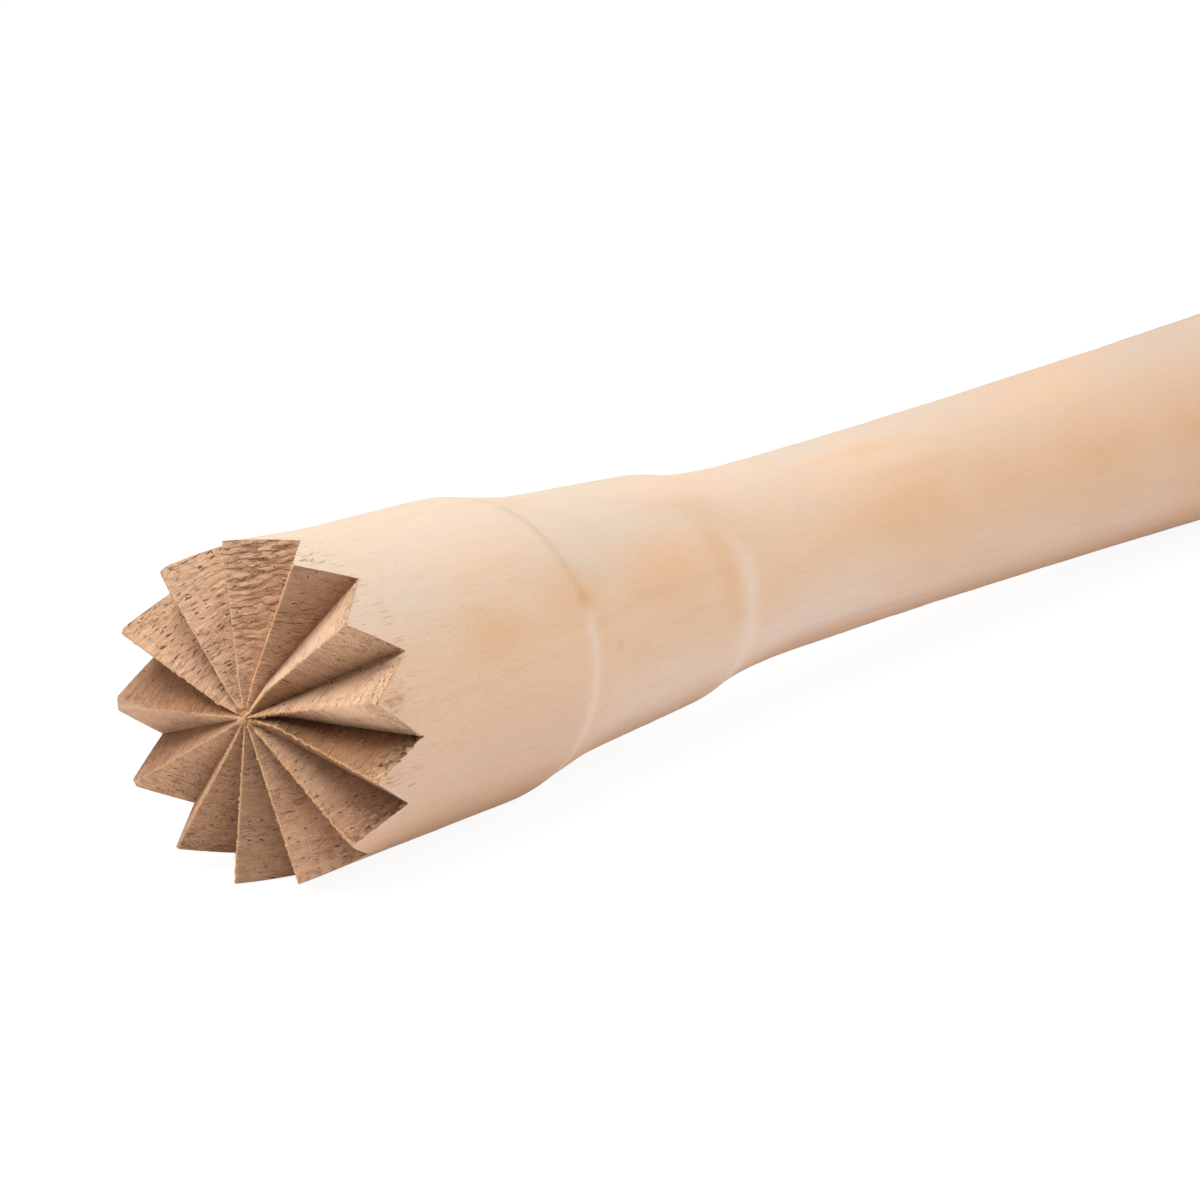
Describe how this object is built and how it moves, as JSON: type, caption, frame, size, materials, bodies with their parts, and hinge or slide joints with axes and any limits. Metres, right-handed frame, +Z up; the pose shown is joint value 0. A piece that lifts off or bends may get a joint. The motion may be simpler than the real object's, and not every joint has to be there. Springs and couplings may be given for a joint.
{
  "type": "cocktail muddler",
  "caption": "Turned wooden muddler lying on its side: barrel head with radial teeth for crushing fruit and herbs, tapered collar and a slim swelling handle.",
  "frame": {"origin": "on the surface the tool lies on, under the middle of its bounding box", "axes": "+X along the tool from the toothed end to the butt, +Y across it, +Z up"},
  "size_m": [0.2308, 0.0356, 0.0356],
  "materials": {
    "turned_wood": "pale fine-grained hardwood, sanded and left bare, with sawn end grain on the teeth",
    "dowel_wood": "plain milled hardwood dowel with straight flutes"
  },
  "bodies": {
    "root": {"toothed_head": "turned_wood", "neck_collar": "turned_wood", "handle": "turned_wood", "joining_dowel": "dowel_wood"}
  },
  "joints": []
}
